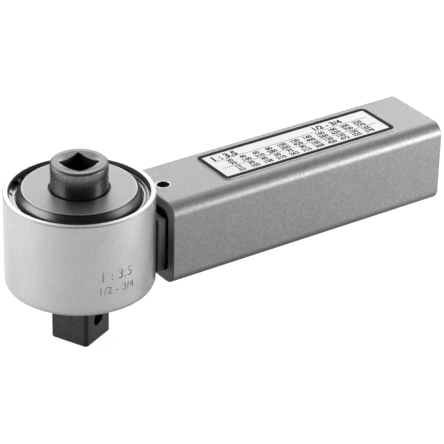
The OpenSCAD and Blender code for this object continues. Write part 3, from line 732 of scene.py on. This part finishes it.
def piece_from(name, points, finish, ends="loop"):
    """Closed mesh on a grid of points (rows, columns, 3) whose columns go round.
    Rows go round too for loop, or end in flat faces for caps."""
    rows, columns = points.shape[:2]
    index = np.arange(rows * columns).reshape(rows, columns)
    faces = [index[0].tolist(), index[-1].tolist()] if ends == "caps" else []
    if ends == "loop":
        index = np.vstack([index, index[:1]])
    index = np.hstack([index, index[:, :1]])
    quads = np.stack([index[:-1, :-1], index[:-1, 1:], index[1:, 1:], index[1:, :-1]], axis=-1)
    mesh = bpy.data.meshes.new(name)
    mesh.from_pydata(points.reshape(-1, 3).tolist(), [], quads.reshape(-1, 4).tolist() + faces)
    piece = new_object(name, mesh)
    tidy_mesh(piece)
    if finish is not None:
        mesh.materials.append(finish)
    return piece


def tidy_mesh(piece):
    """Merges doubled points, closes poles and turns all faces outwards."""
    work = bmesh.new()
    work.from_mesh(piece.data)
    bmesh.ops.remove_doubles(work, verts=work.verts, dist=0.5 * MICRON)
    bmesh.ops.dissolve_degenerate(work, edges=work.edges, dist=0.1 * MICRON)
    bmesh.ops.recalc_face_normals(work, faces=work.faces)
    work.to_mesh(piece.data)
    work.free()


def smooth(piece, sharp_angle=38):
    """Smooth shading that keeps flats flat, with edges over the angle left sharp."""
    piece.data.polygons.foreach_set("use_smooth", np.ones(len(piece.data.polygons), bool))
    piece.data.set_sharp_from_angle(angle=math.radians(sharp_angle))
    weighted = piece.modifiers.new("weighted_normals", "WEIGHTED_NORMAL")
    weighted.keep_sharp = True
    weighted.weight = 100


def settle(piece):
    """Makes the result of a piece's modifiers its mesh."""
    result = evaluated_mesh(piece)
    piece.modifiers.clear()
    piece.data = result


def combine(piece, other, operation):
    """Joins another solid to a piece or cuts it out, and deletes the other."""
    boolean = piece.modifiers.new("combine", "BOOLEAN")
    boolean.operation = operation
    boolean.solver = "EXACT"
    boolean.object = other
    settle(piece)
    bpy.data.objects.remove(other)


def add_shells(piece, *others):
    """Takes the meshes of other objects into a piece and deletes the others."""
    work = bmesh.new()
    work.from_mesh(piece.data)
    for other in others:
        work.from_mesh(other.data)
        bpy.data.objects.remove(other)
    work.to_mesh(piece.data)
    work.free()


def finish_piece(piece, body, slot, *nodes):
    """Smooths a piece, rides it on its body and hides the CAD nodes it stands for; its slot is not
    used.
    """
    smooth(piece)
    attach(piece, body)
    if nodes:
        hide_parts(*nodes)
    return piece


def turned(name, outline, finish, steps=ROUND_STEPS):
    """Solid of revolution: each outline point (r, z) goes round the axis."""
    angle = np.linspace(0, 2 * np.pi, steps, endpoint=False)
    return piece_from(name, round_axis(outline, angle), finish)


def flared_post(radius, flare, low, high):
    """Cutter for a round hole: a cylinder along Z whose ends widen at 45 degrees."""
    outline = np.array([
        [0, low - flare], [radius + 2 * flare, low - flare], [radius, low + flare],
        [radius, high - flare], [radius + 2 * flare, high + flare], [0, high + flare],
    ])
    return turned("cutter", outline, None, POST_STEPS)


def drill(piece, place, *post):
    """Cuts a flared post, moved to its place, out of a piece."""
    cutter = flared_post(*post)
    cutter.data.transform(place)
    combine(piece, cutter, "DIFFERENCE")


def part_of_node(node, height, keep_above):
    """Merged copy of a CAD node, cut level at a height and closed there."""
    source = frame["nodes"][node]
    piece = new_object("part_of_" + node, source.data.copy())
    work = bmesh.new()
    work.from_mesh(piece.data)
    bmesh.ops.remove_doubles(work, verts=work.verts, dist=0.5 * MICRON)
    cut = bmesh.ops.bisect_plane(
        work, geom=work.verts[:] + work.edges[:] + work.faces[:], dist=0.1 * MICRON,
        plane_co=(0, 0, height), plane_no=(0, 0, 1),
        clear_inner=keep_above, clear_outer=not keep_above,
    )
    edges = [e for e in cut["geom_cut"] if isinstance(e, bmesh.types.BMEdge)]
    bmesh.ops.holes_fill(work, edges=edges)
    bmesh.ops.recalc_face_normals(work, faces=work.faces)
    work.to_mesh(piece.data)
    work.free()
    return piece


def make_housing(finish):
    """Round housing with its bored inside, its lug and cut figures. The tongue inside the arm
    is a row of rounded rectangles, narrower at both broken ends."""
    outline = rounded_outline([
        (SEAL_SEAT_R, HOUSE_LOW, FINE_EDGE),
        (HOUSE_R, HOUSE_LOW, FOOT_ROUND),
        (HOUSE_R, HOUSE_TOP - RIM_BEVEL, 2 * FINE_EDGE),
        (HOUSE_R - RIM_BEVEL, HOUSE_TOP, 2 * FINE_EDGE),
        (BORE_R + MOUTH_BEVEL, HOUSE_TOP, FINE_EDGE),
        (BORE_R, HOUSE_TOP - MOUTH_BEVEL, FINE_EDGE),
        (BORE_R, CLIP_HIGH + GROOVE_CLEAR, FINE_EDGE),
        (GROOVE_R, CLIP_HIGH + GROOVE_CLEAR, 0),
        (GROOVE_R, CLIP_LOW - GROOVE_CLEAR, 0),
        (BORE_R, CLIP_LOW - GROOVE_CLEAR, FINE_EDGE),
        (BORE_R, RING_LOW, 0),
        (WELL_R, RING_LOW, FINE_EDGE),
        (WELL_R, FLOOR_TOP, 0),
        (BUSH_SEAT_R, FLOOR_TOP, FINE_EDGE),
        (BUSH_SEAT_R, SEAL_SEAT_TOP, 0),
        (SEAL_SEAT_R, SEAL_SEAT_TOP, 0),
    ])
    housing = turned("housing", outline, finish)
    combine(housing, lug(finish), "UNION")
    ends = edge_break(LUG_EDGE)
    inset = np.concatenate([ends[::-1, 1], ends[:, 1]])
    along = np.concatenate([TONGUE_NEAR + ends[::-1, 0], TONGUE_FAR - ends[:, 0]])
    rows = rounded_rows(
        HOLLOW_W - 2 * TONGUE_CLEAR, HOLLOW_H - 2 * TONGUE_CLEAR, ARM_HOLLOW_R, inset
    )
    combine(housing, piece_from("tongue", along_arm(along, rows), finish, "caps"), "UNION")
    drill(housing, Matrix.Translation((PIN_X, 0, 0)), PIN_HOLE_R, 0, ARM_LOW, ARM_TOP)
    cut_mark(housing)
    return finish_piece(housing, "housing", "satin_nickel", "gear_housing")


def lug(finish):
    """Neck of the lug, drawn up from an outline seen from above: an arc inside the housing's
    wall, and on each side the fillet about (centre_x, centre_y) and the neck's flat. Its end
    rows are a little narrower, as broken edges."""
    centre_y = LUG_HALF_W + LUG_FILLET
    centre_x = math.sqrt((HOUSE_R + LUG_FILLET) ** 2 - centre_y ** 2)
    touch = math.atan2(centre_y, centre_x)
    turn = np.linspace(touch + np.pi, 1.5 * np.pi, 13)
    fillet = grid(centre_x + LUG_FILLET * np.cos(turn), centre_y + LUG_FILLET * np.sin(turn))
    far = np.array([[TONGUE_NEAR + LUG_EDGE, LUG_HALF_W]])
    root_turn = np.linspace(-touch, touch, 25)
    root = LUG_ROOT_R * grid(np.cos(root_turn), np.sin(root_turn))
    upper = np.concatenate([fillet, far])
    outline = np.concatenate([root, upper, upper[::-1] * [1, -1]])
    low, high = HOUSE_LOW, LUG_TOP
    heights = np.array([low, low + LUG_EDGE, high - LUG_EDGE, high])
    narrow = 1 - np.array([1, 0, 0, 1]) * 0.35 * LUG_EDGE / LUG_HALF_W
    points = grid(outline[:, 0], outline[:, 1] * narrow[:, None], heights[:, None])
    return piece_from("lug", points, finish, "caps")


def make_cover(finish):
    """Bevelled cover: a solid of revolution with its skirt, pocket and bore for the hub."""
    outline = rounded_outline([
        (SKIRT_IN_R, COVER_LOW, 0),
        (COVER_R, COVER_LOW, FINE_EDGE),
        (COVER_R, LEDGE_TOP, FINE_EDGE),
        (COVER_FOOT_R, LEDGE_TOP, FINE_EDGE),
        (COVER_FOOT_R, COVER_FOOT, COVER_FOOT_ROUND),
        (COVER_TOP_R, COVER_TOP, COVER_EDGE),
        (COVER_HOLE_R, COVER_TOP, COVER_EDGE),
        (COVER_HOLE_R, COVER_LIP_LOW, 0),
        (COVER_BORE_R, COVER_LIP_LOW, 0),
        (COVER_BORE_R, WASHER_TOP, 0),
        (POCKET_R, WASHER_TOP, 0),
        (POCKET_R, WEB_LOW, FINE_EDGE),
        (SKIRT_IN_R, WEB_LOW, 0),
    ])
    return finish_piece(turned("cover", outline, finish), "housing", "grey_steel", "cover_disc")


def make_clip(finish):
    """Retaining ring: a rectangle with broken edges and a step on top, carried round an open
    circle, with a plier hole near each end."""
    section = rounded_outline([
        (CLIP_IN_R, CLIP_LOW, CLIP_EDGE),
        (CLIP_OUT_R, CLIP_LOW, CLIP_EDGE),
        (CLIP_OUT_R, CLIP_HIGH, CLIP_EDGE),
        (CLIP_STEP_R, CLIP_HIGH, CLIP_EDGE),
        (CLIP_STEP_R, CLIP_HIGH - CLIP_STEP, FINE_EDGE),
        (CLIP_IN_R, CLIP_HIGH - CLIP_STEP, CLIP_EDGE),
    ])
    first = CLIP_OPEN_AT + CLIP_OPEN_ANGLE / 2
    last = CLIP_OPEN_AT - CLIP_OPEN_ANGLE / 2 + 2 * math.pi
    points = round_axis(section, np.linspace(first, last, CLIP_STEPS)).swapaxes(0, 1)
    clip = piece_from("snap_ring", points, finish, "caps")
    eye_r = (CLIP_IN_R + BORE_R) / 2
    for turn in (first + CLIP_EYE_IN, last - CLIP_EYE_IN):
        place = Matrix.Rotation(turn, 4, "Z") @ Matrix.Translation((eye_r, 0, 0))
        drill(clip, place, CLIP_EYE_R, CLIP_EYE_FLARE, CLIP_LOW, CLIP_HIGH)
    return finish_piece(clip, "housing", "spring_steel", "retaining_ring")


def make_hub(finish):
    """Hub with its square socket, set on the hidden lower end of the CAD shaft.

    Rows follow the first five corners of the outline, the bevelled outside and the top, then
    the cone down to where it meets the socket, whose wall lies at half / max(|cos a|, |sin a|)
    from the axis, and the wall down to the floor. A dimple pushes the wall out to a sphere
    about a point near each flat."""
    turn = np.radians(np.arange(360))
    outside = rounded_outline([
        (0, HUB_CUT, 0),
        (HUB_R, HUB_CUT, 0),
        (HUB_R, HUB_FACE - HUB_DROP, HUB_EDGE),
        (HUB_R - HUB_BEVEL, HUB_FACE, HUB_EDGE),
        (LEAD_R, HUB_FACE, LEAD_EDGE),
        (SOCKET_HALF, HUB_FACE - LEAD_H, 0),
        (0, HUB_FACE - LEAD_H, 0),
    ])[:5 * (CORNER_STEPS + 1)]
    radius = outside[:, :1] + 0 * turn
    height = outside[:, 1:] + 0 * turn
    wall_r = SOCKET_HALF / np.maximum(np.abs(np.cos(turn)), np.abs(np.sin(turn)))
    meet = HUB_FACE - LEAD_H * (LEAD_R - wall_r) / (LEAD_R - SOCKET_HALF)
    share = np.linspace(0, 1, LEAD_ROWS + 1)[1:, None]
    cone_r = radius[-1] + (wall_r - radius[-1]) * share
    cone_z = height[-1] + (meet - height[-1]) * share
    floor = HUB_FACE - SOCKET_DEEP
    share = np.linspace(0, 1, SOCKET_ROWS + 1)[1:, None]
    wall_z = meet + (floor - meet) * share
    radius = np.concatenate([radius, cone_r, wall_r + 0 * wall_z, 0 * wall_r[None]])
    height = np.concatenate([height, cone_z, wall_z, floor + 0 * wall_r[None]])
    flat = np.round(turn / (np.pi / 2)) * np.pi / 2
    out, side = radius * np.cos(turn - flat), radius * np.sin(turn - flat)
    bulge = DIMPLE_R ** 2 - side ** 2 - (height - HUB_FACE + DIMPLE_DOWN) ** 2
    dimple = DIMPLE_OUT + np.sqrt(np.maximum(bulge, 0))
    in_wall = (np.arange(len(radius)) >= len(outside) + LEAD_ROWS)[:, None] & (radius > 0)
    out = np.where(in_wall & (bulge > 0), np.maximum(out, dimple), out)
    angle = flat + SOCKET_TURN
    points = grid(
        out * np.cos(angle) - side * np.sin(angle),
        out * np.sin(angle) + side * np.cos(angle),
        height,
    )
    hub = piece_from("input_drive", points, finish)
    add_shells(hub, part_of_node("input_shaft", HUB_CUT, keep_above=False))
    return finish_piece(hub, "input", "hub_steel", "input_shaft")


def square_row(half, cut, edge):
    """Square with its four corners cut off and rounded edges, seen along Z."""
    inner = half - cut
    return rounded_outline([
        (half, -inner, edge), (half, inner, edge), (inner, half, edge), (-inner, half, edge),
        (-half, inner, edge), (-half, -inner, edge), (-inner, -half, edge), (inner, -half, edge),
    ], 5)


def make_square(finish):
    """Output square with its cross hole and the journal's end, set under the hidden upper
    part of the CAD carrier. Rows are cut squares, the first four of them the end's bevel
    with its soft edges, then circles at the same angles."""
    row = square_row(SQUARE_HALF, SQUARE_CUT, SQUARE_EDGE)
    end_row = square_row(
        SQUARE_HALF - SQUARE_END, SQUARE_CUT - SQUARE_END * (2 - math.sqrt(2)), SQUARE_EDGE
    )
    share = np.array([0, 0.08, 0.92, 1])[:, None, None]
    bevel = end_row + (row - end_row) * share
    bevel_z = SQUARE_END * np.array([0, 0.06, 0.9, 1.08])
    angle = np.arctan2(row[:, 1], row[:, 0])
    circle = grid(np.cos(angle), np.sin(angle))
    edge = edge_break(JOURNAL_EDGE)[::-1]
    rounds = (JOURNAL_R - edge[:, 1, None, None]) * circle
    rows = np.concatenate([bevel, row[None], rounds, JOURNAL_R * circle[None]])
    heights = np.concatenate([bevel_z, [JOURNAL_LOW], JOURNAL_LOW + edge[:, 0], [JOURNAL_CUT]])
    square = piece_from("output_drive", at_heights(rows, heights), finish, "caps")
    level = Matrix.Translation((0, 0, CROSS_HOLE_UP)) @ Matrix.Rotation(math.pi / 2, 4, "X")
    drill(square, level, CROSS_HOLE_R, CROSS_HOLE_EDGE, -SQUARE_HALF, SQUARE_HALF)
    square.data.transform(Matrix.Rotation(SQUARE_TURN, 4, "Z"))
    add_shells(square, part_of_node("planet_carrier", JOURNAL_CUT, keep_above=True))
    return finish_piece(square, "output", "black_steel", "planet_carrier")


def make_arm(finish):
    """Square tube: rounded rectangles along X, outside to inside over both broken ends."""
    outer = edge_break(ARM_END_EDGE)
    inner = edge_break(ARM_HOLLOW_EDGE)
    length = ARM_FAR - ARM_NEAR
    outside = rounded_rows(ARM_W, ARM_H, ARM_EDGE_R, outer[:, 1])
    inside = rounded_rows(HOLLOW_W, HOLLOW_H, ARM_HOLLOW_R, -inner[:, 1])
    rows = np.concatenate([outside[::-1], outside, inside[::-1], inside])
    along = np.concatenate([
        outer[::-1, 0], length - outer[:, 0], length - inner[::-1, 0], inner[:, 0],
    ])
    arm = piece_from("arm", along_arm(ARM_NEAR + along, rows), finish)
    place = Matrix.Translation((PIN_X, 0, 0))
    drill(arm, place, PIN_HOLE_R, PIN_HOLE_EDGE, ARM_LOW, ARM_TOP)
    return finish_piece(arm, "housing", "arm_paint", "reaction_arm")


def make_plug(finish):
    """End plug: rounded rectangles along X, from the hollow back over the rim to a face with
    a sunk panel."""
    low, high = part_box("arm_end_plug")
    edge = edge_break(PLUG_EDGE)
    panel = PLUG_PANEL_IN + np.array([0, 0.2, 1.0, 1.2]) * MM
    panel_deep = PLUG_PANEL_DEEP * np.array([0, 0.1, 0.9, 1])
    inset = np.concatenate([[PLUG_WALL, PLUG_WALL, PLUG_BACK_EDGE, 0], edge[:, 1], panel])
    along = np.concatenate([
        [high.x - PLUG_FACE_T, low.x, low.x, low.x + PLUG_BACK_EDGE],
        high.x - edge[:, 0], high.x - panel_deep,
    ])
    rows = rounded_rows(
        HOLLOW_W - 2 * PLUG_CLEAR, HOLLOW_H - 2 * PLUG_CLEAR, ARM_HOLLOW_R, inset,
        PLUG_LEAST_ROUND,
    )
    plug = piece_from("end_plug", along_arm(along, rows), finish, "caps")
    return finish_piece(plug, "housing", "plug_plastic", "arm_end_plug")


def make_seal(finish):
    """Lower seal: a ring whose face dips between its rim and its lip."""
    lip_r = JOURNAL_R + 0.08 * MM
    outline = rounded_outline([
        (lip_r, SEAL_LOW + 0.5 * MM, 0.15 * MM),
        (lip_r + 0.5 * MM, SEAL_LOW, 0.15 * MM),
        (lip_r + 0.9 * MM, SEAL_LOW, 0.1 * MM),
        (lip_r + 1.2 * MM, SEAL_LOW + 0.6 * MM, 0.1 * MM),
        (SEAL_R - 1.0 * MM, SEAL_LOW + 0.6 * MM, 0.1 * MM),
        (SEAL_R - 0.8 * MM, SEAL_LOW, 0.1 * MM),
        (SEAL_R, SEAL_LOW, 0.15 * MM),
        (SEAL_R, SEAL_HIGH, 0.1 * MM),
        (lip_r, SEAL_HIGH, 0.1 * MM),
    ], 4)
    seal = turned("lower_seal", outline, finish)
    return finish_piece(seal, "housing", "seal_rubber", "output_seal")


def flat_band(name, place, width, height, radius, band, low, high, finish):
    """Printed band between two rounded rectangles about a place, low to high along Z."""
    rows = rounded_rows(width, height, radius, np.array([0, 0, band, band]))
    points = at_heights(rows + np.asarray(place)[:2], np.array([low, high, high, low]))
    return piece_from(name, points, finish)


def make_label(white, ink):
    """Label plate of rounded rectangles, with a printed frame, two headings, two rules and a
    table of plain numbers, input values above the output values they give."""
    size = LABEL_HIGH - LABEL_LOW
    centre = (LABEL_HIGH + LABEL_LOW) / 2
    edge = edge_break(LABEL_EDGE)
    inset = np.concatenate([[0], edge[:, 1]])
    level = np.concatenate([[LABEL_LOW.z], LABEL_HIGH.z - PRINT_T - edge[:, 0]])
    rows = rounded_rows(size.x, size.y, LABEL_CORNER, inset)
    points = at_heights(rows + np.array(centre.xy), level)
    plate = piece_from("label", points, white, "caps")
    finish_piece(plate, "housing", "label_white", "label_plate")
    low, high = LABEL_HIGH.z - 2 * PRINT_T, LABEL_HIGH.z
    border = flat_band(
        "label_frame", centre, size.x - 2 * LABEL_EDGE, size.y - 2 * LABEL_EDGE,
        LABEL_CORNER - LABEL_EDGE, FRAME_W, low, high, ink
    )
    finish_piece(border, "housing", "plug_plastic")
    marks = list(HEADINGS)
    for step, height in ROW_PAIRS:
        for column in range(COLUMNS):
            value = step * (column + 1)
            at_x = FIRST_COLUMN + COLUMN_STEP * column
            marks.append((str(value), FIGURE_TALL, at_x, height))
            marks.append((str(round(RATIO * value)), FIGURE_TALL, at_x, height - ROW_STEP))
    figures = [
        lettering(text, tall * MM, (centre.x + x * MM, centre.y + y * MM), low, high, PRINT_BOLD)
        for text, tall, x, y in marks
    ]
    rules = [
        flat_band("rule", (centre.x, centre.y + y), size.x - RULE_SHORT, RULE_W,
                  RULE_BAND, RULE_BAND, low, high, None)
        for y in RULES_AT
    ]
    printed = figures[0]
    printed.name = "label_print"
    add_shells(printed, *figures[1:], *rules)
    printed.data.materials.append(ink)
    finish_piece(printed, "housing", "plug_plastic")


def lettering(text, tall, place, low, high, bold=0.0):
    """Solid figures of a plain sans font, centred on a place, between two heights. Bold is
    the share of their height by which the strokes grow."""
    curve = bpy.data.curves.new("figures", "FONT")
    curve.body = text
    curve.size = tall / CAPITAL_SHARE
    curve.align_x, curve.align_y = "CENTER", "CENTER"
    curve.offset = bold * tall
    curve.resolution_u = 3
    curve.extrude = (high - low) / 2
    holder = new_object("figures", curve)
    mesh = evaluated_mesh(holder)
    bpy.data.objects.remove(holder)
    mesh.transform(Matrix.Translation((place[0], place[1], (low + high) / 2)))
    figures = new_object("figures", mesh)
    tidy_mesh(figures)
    return figures


def cut_mark(housing):
    """Figures cut into the housing's wall: flat lettering split into upright strips and bent
    round the wall, x becoming the turn x / radius and y the height."""
    parts = [lettering(text, tall, (0, y), -MARK_DEEP, MARK_DEEP) for text, tall, y in MARK_ROWS]
    mark = parts[0]
    add_shells(mark, *parts[1:])
    work = bmesh.new()
    work.from_mesh(mark.data)
    for x in MARK_STRIPS:
        bmesh.ops.bisect_plane(
            work, geom=work.verts[:] + work.edges[:] + work.faces[:],
            plane_co=(x, 0, 0), plane_no=(1, 0, 0),
        )
    bmesh.ops.remove_doubles(work, verts=work.verts, dist=20 * MICRON)
    bmesh.ops.dissolve_degenerate(work, edges=work.edges, dist=10 * MICRON)
    bmesh.ops.triangulate(work, faces=work.faces)
    work.to_mesh(mark.data)
    work.free()
    flat = np.empty(len(mark.data.vertices) * 3)
    mark.data.vertices.foreach_get("co", flat)
    x, y, deep = flat.reshape(-1, 3).T
    turn = MARK_AT + x / HOUSE_R
    radius = HOUSE_R + deep
    bent = grid(radius * np.cos(turn), radius * np.sin(turn), MARK_MID + y)
    mark.data.vertices.foreach_set("co", bent.reshape(-1))
    combine(housing, mark, "DIFFERENCE")
    tidy_mesh(housing)


def make_camera():
    """Camera at the photograph's view."""
    data = bpy.data.cameras.new("camera")
    data.sensor_width = SENSOR_W
    data.lens = LENS
    data.clip_start, data.clip_end = CAMERA_RANGE
    camera = new_object("camera", data)
    camera.matrix_world = (
        Matrix.Translation(CAMERA_AT)
        @ Matrix.Rotation(CAMERA_AZIMUTH, 4, "Z")
        @ Matrix.Rotation(math.pi / 2 - CAMERA_ELEVATION, 4, "X")
        @ Matrix.Rotation(CAMERA_ROLL, 4, "Z")
    )
    bpy.context.scene.camera = camera


def make_floor():
    """Pale paper, whitened where the camera sees it, as in the photograph."""
    corners = [(-FLOOR_HALF, -FLOOR_HALF, 0), (FLOOR_HALF, -FLOOR_HALF, 0),
               (FLOOR_HALF, FLOOR_HALF, 0), (-FLOOR_HALF, FLOOR_HALF, 0)]
    mesh = bpy.data.meshes.new("floor")
    mesh.from_pydata(corners, [], [(0, 1, 2, 3)])
    finish = Finish("floor_paper", (0.8,) * 3, 0.9)
    seen = finish.node("ShaderNodeLightPath", output="Is Camera Ray")
    glow = finish.node("ShaderNodeEmission", inputs={"Strength": FLOOR_GLOW})
    paper = Socket(finish, finish.shader.outputs[0])
    surface = finish.node(
        "ShaderNodeMixShader", inputs={0: seen * FLOOR_WHITE, 1: paper, 2: glow}
    )
    finish.feed(finish.tree.nodes["Material Output"].inputs["Surface"], surface)
    mesh.materials.append(finish.material)
    floor = new_object("floor", mesh)


def softbox(name, azimuth, elevation, distance, size, power):
    """Area light turned to the object's middle, at angles and a distance from it, with its
    width and height."""
    around, above = math.radians(azimuth), math.radians(elevation)
    away = Vector((
        math.cos(around) * math.cos(above), math.sin(around) * math.cos(above), math.sin(above)
    ))
    data = bpy.data.lights.new(name, "AREA")
    data.shape = "RECTANGLE"
    data.size, data.size_y = size
    data.energy = power
    light = new_object(name, data)
    turn = (-away).to_track_quat("-Z", "Y").to_matrix().to_4x4()
    light.matrix_world = Matrix.Translation(LIGHTS_AIM + distance * away) @ turn


def make_lights():
    """Softboxes above, behind and at both sides; the camera's side is left dark."""
    for box in SOFTBOXES:
        softbox(*box)
    world = bpy.data.worlds.new("studio")
    bpy.context.scene.world = world
    world.use_nodes = True
    sky = world.node_tree.nodes["Background"]
    sky.inputs["Color"].default_value = (1, 1, 1, 1)
    sky.inputs["Strength"].default_value = WORLD_LIGHT


def dress_nodes(finishes):
    """Gives every CAD node that still shows the finish of its slot."""
    for part in frame["record"]["subparts"]:
        mesh = frame["nodes"][part["node"]].data
        mesh.materials.clear()
        mesh.materials.append(finishes[part["material_slot"]])


def main():
    """Builds the finishes, the pieces, the camera, the floor and the lights."""
    makers = (
        satin_nickel, grey_steel, hub_steel, black_steel, gear_steel, spring_steel, arm_paint,
        bronze, seal_rubber, plug_plastic, label_white,
    )
    finishes = {maker.__name__: maker() for maker in makers}
    dress_nodes(finishes)
    make_housing(finishes["satin_nickel"])
    make_cover(finishes["grey_steel"])
    make_clip(finishes["spring_steel"])
    make_hub(finishes["hub_steel"])
    make_square(finishes["black_steel"])
    make_arm(finishes["arm_paint"])
    make_plug(finishes["plug_plastic"])
    make_label(finishes["label_white"], label_ink())
    make_seal(finishes["seal_rubber"])
    make_camera()
    make_floor()
    make_lights()
    bpy.context.scene.view_settings.view_transform = "Standard"


main()
